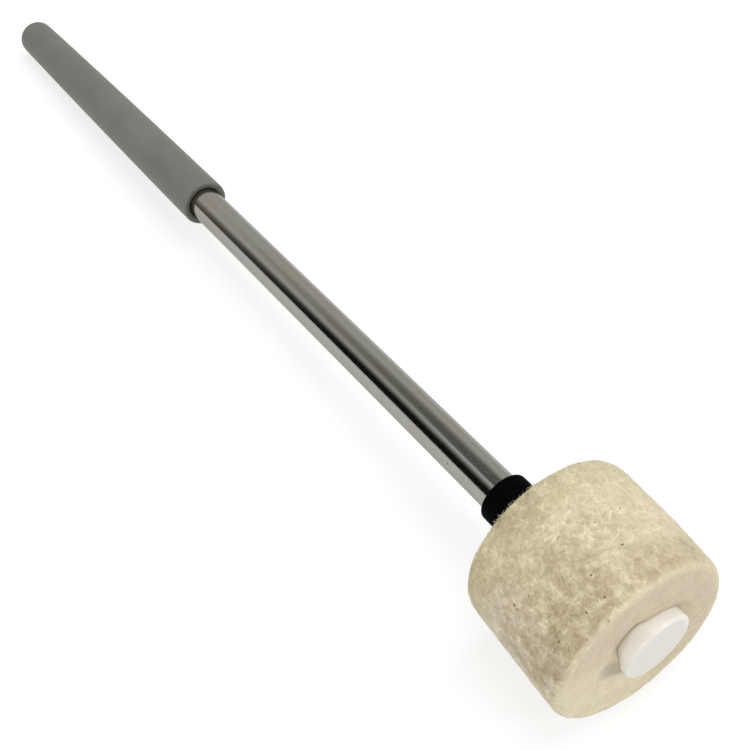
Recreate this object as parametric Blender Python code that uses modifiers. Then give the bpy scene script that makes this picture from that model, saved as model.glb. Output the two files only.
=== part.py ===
"""Marching bass drum mallet, lying at rest on a flat surface. Metres, +Z up.

Each piece is turned about the mallet's own axis, with the butt's outer face at z = 0 and
the head at the top. The empty "mallet" then lays that axis down along +X, tilted so that
the felt and the grip's butt both touch the surface z = 0.
"""

import math

import bpy

# Shaft: one straight metal tube from the butt to the head
SHAFT_DIAMETER = 0.0115
SHAFT_WALL = 0.0012
SHAFT_EDGE_BREAK = 0.0002
SHAFT_SHOWN = 0.1625

# Grip: a moulded rubber sleeve with a closed butt, slightly fuller along its middle.
# Its front opens round the shaft with a small countersink.
GRIP_LENGTH = 0.1545
GRIP_FRONT_DIAMETER = 0.0162
GRIP_BUTT_DIAMETER = 0.0142
GRIP_SWELL = 0.00022
GRIP_END_WALL = 0.004
GRIP_FRONT_ROUND = 0.0006
GRIP_MOUTH_RADIUS = 0.0069
GRIP_MOUTH_DEPTH = 0.0010
GRIP_BUTT_ROUND = 0.0025
VENT_DIAMETER = 0.003

# Plug in the shaft's butt end, which keeps the tube's edge out of the rubber
PLUG_FLANGE = 0.0015
PLUG_SPIGOT = 0.012
PLUG_LEAD_IN = 0.0008

# Black rubber collar behind the head
COLLAR_DIAMETER = 0.0148
COLLAR_LENGTH = 0.016
COLLAR_ROUND_LENGTH = 0.0012
COLLAR_ROUND_DEPTH = 0.0008

# Hard felt head, drawn in a little towards both of its ends
HEAD_DIAMETER = 0.0504
HEAD_LENGTH = 0.0359
HEAD_REAR_ROUND_LENGTH = 0.0030
HEAD_REAR_ROUND_DEPTH = 0.0014
HEAD_FRONT_ROUND_LENGTH = 0.0075
HEAD_FRONT_ROUND_DEPTH = 0.0014

# Nylon core through the felt, with a boss that stands proud of the felt's face
CORE_DIAMETER = 0.0198
CORE_PROUD = 0.0036
CORE_FRONT_WALL = 0.008
CORE_EDGE_ROUND = 0.0012
CORE_REAR_CHAMFER = 0.0008

# Spring pin across core and shaft, and the solid insert that backs it inside the shaft
PIN_DIAMETER = 0.003
PIN_WALL = 0.0006
PIN_SLOT_ANGLE = math.radians(50)
PIN_RECESS = 0.0006
PIN_SETBACK = 0.013
INSERT_LENGTH = 0.032
INSERT_CHAMFER = 0.0006

# Clearance between two pieces that touch on the real mallet
GAP = 0.0003

# Facets round a piece. A multiple of four, half a step round, puts one flat face down.
LARGE_STEPS = 64
SMALL_STEPS = 48
PIN_ARC_POINTS = 13
TAPER_POINTS = 9

# Radii and places that follow from the sizes above
SHAFT_RADIUS = SHAFT_DIAMETER / 2
SHAFT_BORE_RADIUS = SHAFT_RADIUS - SHAFT_WALL
SLEEVE_BORE_RADIUS = SHAFT_RADIUS + GAP
HEAD_RADIUS = HEAD_DIAMETER / 2
CORE_RADIUS = CORE_DIAMETER / 2
PLUG_Z = GRIP_END_WALL + GAP
SHAFT_Z = PLUG_Z + PLUG_FLANGE + GAP
COLLAR_Z = GRIP_LENGTH + SHAFT_SHOWN
HEAD_Z = COLLAR_Z + COLLAR_LENGTH + GAP
CORE_LENGTH = HEAD_LENGTH + CORE_PROUD
CORE_BORE_DEPTH = CORE_LENGTH - CORE_FRONT_WALL
SHAFT_LENGTH = HEAD_Z + CORE_BORE_DEPTH - GAP - SHAFT_Z
INSERT_Z = SHAFT_Z + SHAFT_LENGTH - INSERT_LENGTH
PIN_Z = SHAFT_Z + SHAFT_LENGTH - PIN_SETBACK
PIN_LENGTH = CORE_DIAMETER - 2 * PIN_RECESS


def clear_scene():
    for obj in list(bpy.data.objects):
        bpy.data.objects.remove(obj, do_unlink=True)


def new_collection(name):
    collection = bpy.data.collections.new(name)
    bpy.context.scene.collection.children.link(collection)
    return collection


def new_material(name, colour, roughness, metallic=0.0):
    material = bpy.data.materials.new(name)
    material.use_nodes = True
    shader = material.node_tree.nodes["Principled BSDF"]
    shader.inputs["Base Color"].default_value = (*colour, 1.0)
    shader.inputs["Roughness"].default_value = roughness
    shader.inputs["Metallic"].default_value = metallic
    return material


def quarter_round(radius, z, depth, length, points=7):
    """A quarter ellipse down an outer edge, as (radius, z).

    radius and z are the corner that it rounds. length, along the axis, is positive for an
    upper edge, where the round goes outwards and down, and negative for a lower edge,
    where it goes down and inwards. depth is its size along the radius.
    """
    turns = [index / (points - 1) * math.pi / 2 for index in range(points)]
    if length > 0:
        return [
            (radius - depth * (1 - math.sin(t)), z - length * (1 - math.cos(t)))
            for t in turns
        ]
    return [
        (radius - depth * (1 - math.cos(t)), z - length * (1 - math.sin(t)))
        for t in turns
    ]


def grip_radius(z):
    """The sleeve's outer radius: a straight taper with a slight swell along the middle."""
    share = z / GRIP_LENGTH
    taper = GRIP_BUTT_DIAMETER + (GRIP_FRONT_DIAMETER - GRIP_BUTT_DIAMETER) * share
    return taper / 2 + GRIP_SWELL * 4 * share * (1 - share)


def grip_profile():
    front, butt = GRIP_FRONT_ROUND, GRIP_BUTT_ROUND
    top, bottom = GRIP_LENGTH - front, butt
    heights = [top + (bottom - top) * i / TAPER_POINTS for i in range(1, TAPER_POINTS)]
    return [
        (SLEEVE_BORE_RADIUS, GRIP_LENGTH - GRIP_MOUTH_DEPTH),
        (GRIP_MOUTH_RADIUS, GRIP_LENGTH),
        *quarter_round(grip_radius(top), GRIP_LENGTH, front, front, 5),
        *[(grip_radius(z), z) for z in heights],
        *quarter_round(grip_radius(bottom), 0, butt, -butt),
        (VENT_DIAMETER / 2, 0),
        (VENT_DIAMETER / 2, GRIP_END_WALL),
        (SLEEVE_BORE_RADIUS, GRIP_END_WALL),
    ]


def plug_profile():
    spigot_radius = SHAFT_BORE_RADIUS - GAP
    top = PLUG_FLANGE + PLUG_SPIGOT
    return [
        (0, top),
        (spigot_radius - PLUG_LEAD_IN, top),
        (spigot_radius, top - PLUG_LEAD_IN),
        (spigot_radius, PLUG_FLANGE),
        (SHAFT_RADIUS, PLUG_FLANGE),
        (SHAFT_RADIUS, 0),
        (0, 0),
    ]


def shaft_profile():
    edge = SHAFT_EDGE_BREAK
    return [
        (SHAFT_BORE_RADIUS, SHAFT_LENGTH),
        (SHAFT_RADIUS - edge, SHAFT_LENGTH),
        (SHAFT_RADIUS, SHAFT_LENGTH - edge),
        (SHAFT_RADIUS, edge),
        (SHAFT_RADIUS - edge, 0),
        (SHAFT_BORE_RADIUS, 0),
    ]


def collar_profile():
    radius = COLLAR_DIAMETER / 2
    return [
        (SLEEVE_BORE_RADIUS, COLLAR_LENGTH),
        (radius, COLLAR_LENGTH),
        *quarter_round(radius, 0, COLLAR_ROUND_DEPTH, -COLLAR_ROUND_LENGTH, 5),
        (SLEEVE_BORE_RADIUS, 0),
    ]


def felt_profile():
    return [
        (CORE_RADIUS + GAP, HEAD_LENGTH),
        *quarter_round(HEAD_RADIUS, HEAD_LENGTH, HEAD_FRONT_ROUND_DEPTH, HEAD_FRONT_ROUND_LENGTH),
        *quarter_round(HEAD_RADIUS, 0, HEAD_REAR_ROUND_DEPTH, -HEAD_REAR_ROUND_LENGTH, 10),
        (CORE_RADIUS + GAP, 0),
    ]


def core_profile():
    return [
        (0, CORE_LENGTH),
        *quarter_round(CORE_RADIUS, CORE_LENGTH, CORE_EDGE_ROUND, CORE_EDGE_ROUND),
        (CORE_RADIUS, CORE_REAR_CHAMFER),
        (CORE_RADIUS - CORE_REAR_CHAMFER, 0),
        (SLEEVE_BORE_RADIUS, 0),
        (SLEEVE_BORE_RADIUS, CORE_BORE_DEPTH),
        (0, CORE_BORE_DEPTH),
    ]


def insert_profile():
    radius = SHAFT_BORE_RADIUS - GAP
    return [
        (0, INSERT_LENGTH),
        (radius - INSERT_CHAMFER, INSERT_LENGTH),
        (radius, INSERT_LENGTH - INSERT_CHAMFER),
        (radius, INSERT_CHAMFER),
        (radius - INSERT_CHAMFER, 0),
        (0, 0),
    ]


def turned(name, profile, steps, z, material, parts, mallet):
    """A piece turned about the mallet's axis from a profile that runs down its outer side.

    A profile that starts and ends on the axis stays open, and any other is closed.
    """
    edges = [(i, i + 1) for i in range(len(profile) - 1)]
    if profile[0][0] > 0:
        edges.append((len(profile) - 1, 0))
    mesh = bpy.data.meshes.new(name)
    mesh.from_pydata([(radius, 0, height) for radius, height in profile], edges, [])
    mesh.materials.append(material)
    obj = bpy.data.objects.new(name, mesh)
    parts.objects.link(obj)
    obj.parent = mallet
    obj.location.z = z
    obj.rotation_euler.z = math.pi / steps
    screw = obj.modifiers.new("Turn", "SCREW")
    screw.steps = steps
    screw.render_steps = steps
    screw.use_merge_vertices = True
    screw.merge_threshold = 0.00001
    return obj


def spring_pin(material, parts, mallet):
    """A slotted tube across the mallet, drawn as its C-shaped section and extruded."""
    outer = PIN_DIAMETER / 2
    inner = outer - PIN_WALL
    span = 2 * math.pi - PIN_SLOT_ANGLE
    angles = [
        PIN_SLOT_ANGLE / 2 + span * i / (PIN_ARC_POINTS - 1) for i in range(PIN_ARC_POINTS)
    ]
    outline = [(outer * math.cos(a), outer * math.sin(a)) for a in angles]
    outline += [(inner * math.cos(a), inner * math.sin(a)) for a in reversed(angles)]
    curve = bpy.data.curves.new("retaining_pin", "CURVE")
    curve.dimensions = "2D"
    curve.fill_mode = "BOTH"
    curve.extrude = PIN_LENGTH / 2
    spline = curve.splines.new("POLY")
    spline.points.add(len(outline) - 1)
    for point, (x, y) in zip(spline.points, outline):
        point.co = (x, y, 0, 1)
    spline.use_cyclic_u = True
    curve.materials.append(material)
    pin = bpy.data.objects.new("retaining_pin", curve)
    parts.objects.link(pin)
    pin.parent = mallet
    pin.location.z = PIN_Z
    pin.rotation_euler.x = math.pi / 2
    return pin


def pin_hole_cutter(cutters, mallet):
    bpy.ops.mesh.primitive_cylinder_add(
        vertices=24, radius=PIN_DIAMETER / 2 + GAP, depth=CORE_DIAMETER * 1.5
    )
    cutter = bpy.context.object
    cutter.name = "pin_hole_cutter"
    for collection in list(cutter.users_collection):
        collection.objects.unlink(cutter)
    cutters.objects.link(cutter)
    cutter.parent = mallet
    cutter.location.z = PIN_Z
    cutter.rotation_euler.x = math.pi / 2
    cutter.hide_render = True
    cutter.display_type = "WIRE"
    return cutter


def cut(obj, cutter):
    hole = obj.modifiers.new("Pin hole", "BOOLEAN")
    hole.operation = "DIFFERENCE"
    hole.object = cutter


def shade(obj):
    """Takes the modifiers' result as the mesh, smooth but for its sharp edges."""
    bpy.context.view_layer.update()
    graph = bpy.context.evaluated_depsgraph_get()
    mesh = bpy.data.meshes.new_from_object(obj.evaluated_get(graph))
    mesh.name = obj.name
    obj.modifiers.clear()
    obj.data = mesh
    mesh.shade_smooth()
    mesh.set_sharp_from_angle(angle=math.radians(35))


def lowest(profile, steps, z, tilt):
    """How far below the butt's centre a turned piece reaches, with a flat face down."""
    flat = math.cos(math.pi / steps)
    return min(
        (z + height) * math.sin(tilt) - radius * flat * math.cos(tilt)
        for radius, height in profile
    )


def rest_tilt():
    """The slope of the axis at which the grip's butt and the felt reach equally low."""
    flat, steep = 0.0, math.pi / 4
    for _ in range(60):
        tilt = (flat + steep) / 2
        grip = lowest(grip_profile(), LARGE_STEPS, 0, tilt)
        felt = lowest(felt_profile(), LARGE_STEPS, HEAD_Z, tilt)
        if grip > felt:
            flat = tilt
        else:
            steep = tilt
    return tilt


def reach_along_x(profile, steps, z, tilt):
    """The least and the greatest x of a turned piece, counted from the butt's centre."""
    flat = math.cos(math.pi / steps)
    centres = [(z + height) * math.cos(tilt) for _, height in profile]
    widths = [radius * flat * math.sin(tilt) for radius, _ in profile]
    return (
        min(centre - width for centre, width in zip(centres, widths)),
        max(centre + width for centre, width in zip(centres, widths)),
    )


def lay_down(mallet):
    """Turns the axis from +Z to +X and centres the mallet over the origin, on z = 0."""
    tilt = rest_tilt()
    low, _ = reach_along_x(grip_profile(), LARGE_STEPS, 0, tilt)
    _, felt_high = reach_along_x(felt_profile(), LARGE_STEPS, HEAD_Z, tilt)
    _, core_high = reach_along_x(core_profile(), SMALL_STEPS, HEAD_Z, tilt)
    mallet.location.x = -(low + max(felt_high, core_high)) / 2
    mallet.location.z = -lowest(grip_profile(), LARGE_STEPS, 0, tilt)
    mallet.rotation_euler.y = math.pi / 2 - tilt


def build():
    clear_scene()
    parts = new_collection("marching_bass_drum_mallet")
    cutters = new_collection("cutters")
    mallet = bpy.data.objects.new("mallet", None)
    parts.objects.link(mallet)

    grey_rubber = new_material("grey_rubber", (0.185, 0.185, 0.170), 0.62)
    black_rubber = new_material("black_rubber", (0.006, 0.006, 0.006), 0.60)
    polished_aluminium = new_material("polished_aluminium", (0.70, 0.69, 0.66), 0.18, 1.0)
    spring_steel = new_material("spring_steel", (0.40, 0.40, 0.41), 0.35, 1.0)
    plain_aluminium = new_material("plain_aluminium", (0.70, 0.70, 0.71), 0.38, 1.0)
    white_nylon = new_material("white_nylon", (0.84, 0.82, 0.78), 0.35)
    black_plastic = new_material("black_plastic", (0.02, 0.02, 0.02), 0.45)
    cream_felt = new_material("cream_felt", (0.62, 0.55, 0.38), 0.95)

    def piece(name, profile, steps, z, material):
        return turned(name, profile, steps, z, material, parts, mallet)

    grip = piece("grip_sleeve", grip_profile(), LARGE_STEPS, 0, grey_rubber)
    plug = piece("shaft_end_plug", plug_profile(), SMALL_STEPS, PLUG_Z, black_plastic)
    shaft = piece("shaft_tube", shaft_profile(), SMALL_STEPS, SHAFT_Z, polished_aluminium)
    collar = piece("stop_collar", collar_profile(), SMALL_STEPS, COLLAR_Z, black_rubber)
    felt = piece("felt_head", felt_profile(), LARGE_STEPS, HEAD_Z, cream_felt)
    core = piece("head_core", core_profile(), SMALL_STEPS, HEAD_Z, white_nylon)
    insert = piece("shaft_insert", insert_profile(), SMALL_STEPS, INSERT_Z, plain_aluminium)
    spring_pin(spring_steel, parts, mallet)

    cutter = pin_hole_cutter(cutters, mallet)
    for obj in (shaft, core, insert):
        cut(obj, cutter)
    lay_down(mallet)
    for obj in (grip, plug, shaft, collar, felt, core, insert):
        shade(obj)


build()
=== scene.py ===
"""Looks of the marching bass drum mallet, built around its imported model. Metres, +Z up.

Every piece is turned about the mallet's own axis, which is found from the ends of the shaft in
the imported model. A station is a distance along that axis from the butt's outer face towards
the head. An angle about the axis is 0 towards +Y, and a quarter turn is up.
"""

import math

import bmesh
import bpy
import numpy as np
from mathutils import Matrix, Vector, noise


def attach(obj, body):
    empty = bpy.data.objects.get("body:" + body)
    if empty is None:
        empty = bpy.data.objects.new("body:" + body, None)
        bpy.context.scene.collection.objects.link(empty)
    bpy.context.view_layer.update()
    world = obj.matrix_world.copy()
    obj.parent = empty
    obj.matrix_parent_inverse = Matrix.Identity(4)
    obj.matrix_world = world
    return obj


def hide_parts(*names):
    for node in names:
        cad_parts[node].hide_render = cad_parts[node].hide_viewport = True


MM = 0.001
QUARTER_TURN = math.pi / 2
FULL_TURN = math.pi * 2

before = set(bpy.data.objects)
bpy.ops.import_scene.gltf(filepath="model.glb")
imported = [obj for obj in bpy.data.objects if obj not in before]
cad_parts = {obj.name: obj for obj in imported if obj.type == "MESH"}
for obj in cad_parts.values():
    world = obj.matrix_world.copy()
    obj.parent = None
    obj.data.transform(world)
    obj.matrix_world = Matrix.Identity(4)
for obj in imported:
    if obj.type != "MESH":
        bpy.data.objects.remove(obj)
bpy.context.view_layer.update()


# Where the pieces are

CLEARANCE = 0.3 * MM
END_BAND = 3 * MM
END_FACE = 0.1 * MM


def node_points(name):
    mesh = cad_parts[name].data
    points = np.zeros(len(mesh.vertices) * 3, np.float32)
    mesh.vertices.foreach_get("co", points)
    return points.reshape(-1, 3).astype(float)


def find_axis():
    """The butt's centre and the axis towards the head, from the centres of the shaft's ends."""
    points = node_points("shaft_tube")
    along = points[:, 0]
    rear = points[along < along.min() + END_BAND]
    rough = points[along > along.max() - END_BAND].mean(0) - rear.mean(0)
    rough /= np.linalg.norm(rough)
    along = points @ rough
    rear = points[along < along.min() + END_FACE].mean(0)
    front = points[along > along.max() - END_FACE].mean(0)
    axis = (front - rear) / np.linalg.norm(front - rear)
    butt = (node_points("grip_sleeve") @ axis).min()
    return rear + axis * (butt - rear @ axis), axis


BUTT, AXIS = find_axis()
SIDE = np.array((0.0, 1.0, 0.0))
TOP = np.cross(AXIS, SIDE)


def to_world(across, up, station):
    """World points from distances towards +Y, upwards and along the axis."""
    across, up, station = np.broadcast_arrays(across, up, station)
    return BUTT + station[..., None] * AXIS + across[..., None] * SIDE + up[..., None] * TOP


def from_world(points):
    """The distances of world points towards +Y, upwards and along the axis."""
    away = points - BUTT
    return away @ SIDE, away @ TOP, away @ AXIS


def radius_of(points):
    """The distances of world points from the axis."""
    away = points - BUTT
    return np.linalg.norm(away - (away @ AXIS)[..., None] * AXIS, axis=-1)


def span(name):
    """The first and last station of a CAD node, and its greatest radius."""
    points = node_points(name)
    _, _, station = from_world(points)
    return station.min(), station.max(), radius_of(points).max()


_, GRIP_END, _ = span("grip_sleeve")
SHAFT_START, SHAFT_END, SHAFT_RADIUS = span("shaft_tube")
COLLAR_START, COLLAR_END, COLLAR_RADIUS = span("stop_collar")
HEAD_START, HEAD_END, _ = span("felt_head")
CORE_START, CORE_END, _ = span("head_core")


# Shapes

SHARP_ANGLE = math.radians(35)
SAME_PLACE = 0.0001 * MM


def smooth(share):
    """share held between 0 and 1 and eased at both."""
    share = np.clip(share, 0, 1)
    return share * share * (3 - 2 * share)


def window(value, start, rise, end, fall):
    """0 outside start and end, eased to 1 over rise after start and over fall before end."""
    return smooth((value - start) / rise) * smooth((end - value) / fall)


def in_degrees(angle):
    return np.degrees(angle) % 360


def straight(radius, angle, station):
    """World points at a radius and an angle round the axis."""
    return to_world(radius * np.cos(angle), radius * np.sin(angle), station)


def outer_edge(radius, station, depth, length, points):
    """A quarter ellipse down an outer edge whose corner is at radius and station. length is
    positive for an edge that faces the head and negative for one that faces the butt."""
    turn = np.linspace(0, QUARTER_TURN, points)
    down, along = 1 - np.sin(turn), 1 - np.cos(turn)
    if length < 0:
        down, along = along, down
    return list(zip(radius - depth * down, station - length * along))


def mouth_edge(radius, station, size, points, endpoint=True):
    """A quarter circle out of a bore onto a face at station that faces the head."""
    turn = np.linspace(0, QUARTER_TURN, points, endpoint=endpoint)
    return list(zip(radius + size * (1 - np.cos(turn)), station - size * (1 - np.sin(turn))))


def between(start, end, count):
    """The points inside a straight stretch of a profile, without its ends."""
    shares = np.linspace(0, 1, count + 2)[1:-1]
    return [
        (start[0] + (end[0] - start[0]) * s, start[1] + (end[1] - start[1]) * s)
        for s in shares
    ]


def rings(profile, steps, place):
    """The grid of world points of a profile of (radius, station) turned in steps."""
    radius, station = np.array(profile).T
    angle = np.linspace(0, FULL_TURN, steps, endpoint=False)[:, None]
    return place(radius[None, :], angle, station[None, :])


def new_object(name, data):
    obj = bpy.data.objects.new(name, data)
    bpy.context.scene.collection.objects.link(obj)
    return obj


def mesh_object(name, points, faces, merge=False):
    """A smoothly shaded object with its sharp edges kept. merge joins points in one place."""
    mesh = bpy.data.meshes.new(name)
    mesh.from_pydata(points.reshape(-1, 3).tolist(), [], faces.tolist())
    if merge:
        work = bmesh.new()
        work.from_mesh(mesh)
        bmesh.ops.remove_doubles(work, verts=work.verts, dist=SAME_PLACE)
        work.to_mesh(mesh)
        work.free()
    mesh.shade_smooth()
    mesh.set_sharp_from_angle(angle=SHARP_ANGLE)
    return new_object(name, mesh)


def grid_object(name, points, closed=True):
    """An object from a grid of points that is closed round its turn. closed joins the
    profile's end to its start as well; else both its ends lie on the axis."""
    steps, count, _ = points.shape
    turn = np.arange(steps)[:, None]
    step = np.arange(count if closed else count - 1)[None, :]
    here, there = turn * count, (turn + 1) % steps * count
    corners = (here + step, here + (step + 1) % count, there + (step + 1) % count, there + step)
    faces = np.stack(corners, -1).reshape(-1, 4)
    return mesh_object(name, points, faces, merge=not closed)


def set_mark(mesh, name, values):
    """A share from 0 to 1 at each vertex of a mesh, which its material reads by name."""
    mark = mesh.attributes.new(name, "FLOAT", "POINT")
    mark.data.foreach_set("value", np.ascontiguousarray(values, np.float32).ravel())


def add(piece, node, material):
    """Give a piece its material, attach it to the root and hide the CAD node it replaces, if
    any.
    """
    piece.data.materials.append(material)
    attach(piece, "root")
    if node:
        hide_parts(node)


# Nodes

def node(tree, kind, inputs=(), **settings):
    """A new node. inputs are pairs of a socket and a value or another node's output."""
    made = tree.nodes.new(kind)
    for setting, value in settings.items():
        setattr(made, setting, value)
    for socket, value in inputs:
        if isinstance(value, bpy.types.NodeSocket):
            tree.links.new(value, made.inputs[socket])
        else:
            made.inputs[socket].default_value = value
    return made


def maths(tree, operation, *values):
    made = node(tree, "ShaderNodeMath", enumerate(values), operation=operation)
    return made.outputs[0]


def product(tree, first, *others):
    for other in others:
        first = maths(tree, "MULTIPLY", first, other)
    return first


def ramp(tree, value, start, end, low=0.0, high=1.0):
    """value eased from low at start to high at end, and held outside them."""
    sockets = "Value", "From Min", "From Max", "To Min", "To Max"
    inputs = zip(sockets, (value, start, end, low, high))
    made = node(tree, "ShaderNodeMapRange", inputs, interpolation_type="SMOOTHSTEP")
    return made.outputs[0]


def blend(tree, share, first, second):
    """first where share is 0 and second where it is 1, as colours."""
    made = node(tree, "ShaderNodeMix", (("Factor", share),), data_type="RGBA")
    for socket, value in ((made.inputs[6], first), (made.inputs[7], second)):
        if isinstance(value, bpy.types.NodeSocket):
            tree.links.new(value, socket)
        else:
            socket.default_value = (*value, 1)
    return made.outputs[2]


def tint(tree, first, second):
    """Two colours multiplied."""
    inputs = (("Factor", 1.0), (6, first), (7, second))
    made = node(tree, "ShaderNodeMix", inputs, data_type="RGBA", blend_type="MULTIPLY")
    return made.outputs[2]


def read_mark(tree, name):
    return node(tree, "ShaderNodeAttribute", attribute_name=name).outputs["Fac"]


def object_place(tree):
    return node(tree, "ShaderNodeTexCoord").outputs["Object"]


def grain(tree, size, detail=3.0, stretch=(1, 1, 1), turn=(0, 0, 0), roughness=0.5):
    """Noise from 0 to 1 with marks of the given size, stretched along its own turned axes.
    Most of it lies between 0.3 and 0.7, so that is where ramps over it start and end."""
    lie = node(
        tree,
        "ShaderNodeMapping",
        (
            ("Vector", object_place(tree)),
            ("Rotation", [math.radians(angle) for angle in turn]),
            ("Scale", [size * share for share in stretch]),
        ),
        vector_type="TEXTURE",
    )
    inputs = (("Vector", lie.outputs[0]), ("Scale", 1.0), ("Detail", detail))
    made = node(tree, "ShaderNodeTexNoise", (*inputs, ("Roughness", roughness)))
    return made.outputs[0]


def bump(tree, height, depth):
    made = node(tree, "ShaderNodeBump", (("Height", height), ("Distance", depth)))
    return made.outputs[0]


def new_material(name, roughness, metallic=0.0, specular=0.5, more=()):
    """A material, its node tree and its shader. more are pairs of a socket and its value."""
    material = bpy.data.materials.new(name)
    material.use_nodes = True
    shader = material.node_tree.nodes["Principled BSDF"]
    values = ("Roughness", roughness), ("Metallic", metallic), ("Specular IOR Level", specular)
    for socket, value in (*values, *more):
        shader.inputs[socket].default_value = value
    return material, material.node_tree, shader


def finish_material(tree, shader, colour, normal=None, roughness=None):
    """Link what is given to the shader."""
    links = ("Base Color", colour), ("Normal", normal), ("Roughness", roughness)
    for socket, value in links:
        if value:
            tree.links.new(value, shader.inputs[socket])


def empty_material(name):
    """A material and its node tree, without any nodes."""
    material = bpy.data.materials.new(name)
    material.use_nodes = True
    material.node_tree.nodes.clear()
    return material, material.node_tree


def show_mix(tree, share, first, second):
    """Show the shader first where share is 0 and the shader second where it is 1."""
    inputs = ((0, share), (1, first.outputs[0]), (2, second.outputs[0]))
    both = node(tree, "ShaderNodeMixShader", inputs)
    node(tree, "ShaderNodeOutputMaterial", (("Surface", both.outputs[0]),))


# The grip

GRIP_BORE_GAP = 0.05 * MM
GRIP_FRONT_RADIUS = 8.1 * MM
GRIP_BUTT_RADIUS = 7.1 * MM
GRIP_SWELL = 0.22 * MM
GRIP_FRONT_ROUND = 0.9 * MM
GRIP_MOUTH_ROUND = 0.6 * MM
GRIP_BUTT_ROUND = 2.5 * MM
GRIP_END_WALL = 4 * MM
VENT_RADIUS = 1.5 * MM
GRIP_STEPS = 192
GRIP_SIDE_POINTS = 80
GRIP_MOUTH_POINTS = 10
GRIP_FRONT_POINTS = 9
GRIP_BUTT_POINTS = 13

# Painted shade over the grip's front face and its mouth: how far in from its outside and back
# from its face it reaches
MOUTH_INWARDS = 1.5 * MM
MOUTH_BACK = 1.2 * MM
MOUTH_EASE = 0.6 * MM
MOUTH_SHADE_STRENGTH = 0.7

GRIP_TONES = ((0.156, 0.158, 0.143), (0.180, 0.181, 0.163))
GRIP_PITS = (0.16, 0.16, 0.145)
# The painted shade on the grip's front face and mouth
GRIP_MOUTH_SHADE = (0.07, 0.068, 0.055)
GRIP_CLOUD_SIZE = 14 * MM
GRIP_SPECK_SIZE = 0.5 * MM
GRIP_SPECULAR = 0.4
GRIP_ROUGHNESS = 0.6
GRIP_ROUGHNESS_RANGE = (0.52, 0.64)
GRIP_BUMP = 0.03 * MM


def grip_radius(station):
    share = station / GRIP_END
    taper = GRIP_BUTT_RADIUS + (GRIP_FRONT_RADIUS - GRIP_BUTT_RADIUS) * share
    return taper + GRIP_SWELL * 4 * share * (1 - share)


def mouth_mark(points):
    """0 on the grip's outside, rising to 1 over its front face down to the mouth."""
    _, _, station = from_world(points)
    inwards = smooth((GRIP_FRONT_RADIUS - radius_of(points)) / MOUTH_INWARDS)
    return inwards * smooth((station - GRIP_END + MOUTH_BACK) / MOUTH_EASE)


def grip_material():
    """Moulded rubber with faint clouds and pits, and painted shade on its front face."""
    material, tree, shader = new_material("grip_rubber", GRIP_ROUGHNESS, specular=GRIP_SPECULAR)
    cloud = grain(tree, GRIP_CLOUD_SIZE, 3.0)
    speck = grain(tree, GRIP_SPECK_SIZE, 2.0)
    colour = blend(tree, ramp(tree, cloud, 0.35, 0.65), *GRIP_TONES)
    colour = blend(tree, ramp(tree, speck, 0.30, 0.42, 0.85, 1.0), GRIP_PITS, colour)
    # painted shade over the grip's front face and mouth
    mouth_shade = product(tree, read_mark(tree, "mouth"), MOUTH_SHADE_STRENGTH)
    colour = blend(tree, mouth_shade, colour, GRIP_MOUTH_SHADE)
    roughness = ramp(tree, cloud, 0.3, 0.7, *GRIP_ROUGHNESS_RANGE)
    finish_material(tree, shader, colour, bump(tree, speck, GRIP_BUMP), roughness)
    return material


def make_grip():
    bore = SHAFT_RADIUS + GRIP_BORE_GAP
    top, bottom = GRIP_END - GRIP_FRONT_ROUND, GRIP_BUTT_ROUND
    side = np.linspace(top, bottom, GRIP_SIDE_POINTS)[1:-1]
    front_edge = (grip_radius(top), GRIP_END, GRIP_FRONT_ROUND, GRIP_FRONT_ROUND)
    butt_edge = (grip_radius(bottom), 0, GRIP_BUTT_ROUND, -GRIP_BUTT_ROUND)
    profile = [
        *mouth_edge(bore, GRIP_END, GRIP_MOUTH_ROUND, GRIP_MOUTH_POINTS),
        *outer_edge(*front_edge, GRIP_FRONT_POINTS),
        *[(grip_radius(station), station) for station in side],
        *outer_edge(*butt_edge, GRIP_BUTT_POINTS),
        (VENT_RADIUS, 0),
        (VENT_RADIUS, GRIP_END_WALL),
        (bore, GRIP_END_WALL),
    ]
    points = rings(profile, GRIP_STEPS, straight)
    grip = grid_object("grip", points)
    set_mark(grip.data, "mouth", mouth_mark(points))
    add(grip, "grip_sleeve", grip_material())


# The shaft

SHAFT_WALL = 1.2 * MM
SHAFT_EDGE = 0.2 * MM
SHAFT_STEPS = 256
SHAFT_TONE = (0.352, 0.357, 0.322)
SHAFT_STAIN = (0.36, 0.328, 0.285)
SHAFT_ROUGHNESS = 0.12

# Size, detail and stretch of the marks in metal
DRAW_MARKS = (0.25 * MM, 2.0, (160, 1, 1))
SCRATCHES = (0.30 * MM, 3.0, (1, 3, 3))
STAINS = (9 * MM, 4.0, (2.5, 1, 1))
SPECKLE = (0.32 * MM, 2.0, (1.8, 1, 1))

# Along +X, where the stains give way and where the scratches and the speckle set in
STAINED_FROM = -0.03
STAINED_TO = 0.0
STAINED_MORE = 0.16
WORN_FROM = 0.02
WORN_TO = 0.12
WORN_SCRATCHES = (0.8, 3.2)
WORN_SPECKLE = (0.15, 1.0)
SPECKLE_TINTS = ((0.93,) * 3, (1.06,) * 3)
METAL_EDGES = (("Specular Tint", (0.7, 0.7, 0.7, 1)),)
METAL_ROUGHNESS_SPREAD = (0.75, 1.35)
METAL_BUMP = 0.004 * MM
DRAW_MARK_HEIGHT = 0.35

# The one pit that the tube has on the side that shows, painted in as a dark spot of shade
PIT_ANGLE = math.radians(164.4)
PIT_STATION = 300.7 * MM
PIT_RADIUS = 0.4 * MM
PIT_SHADE_TONE = (0.03, 0.028, 0.02)
PIT_SHADE_STRENGTH = 0.85


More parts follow.
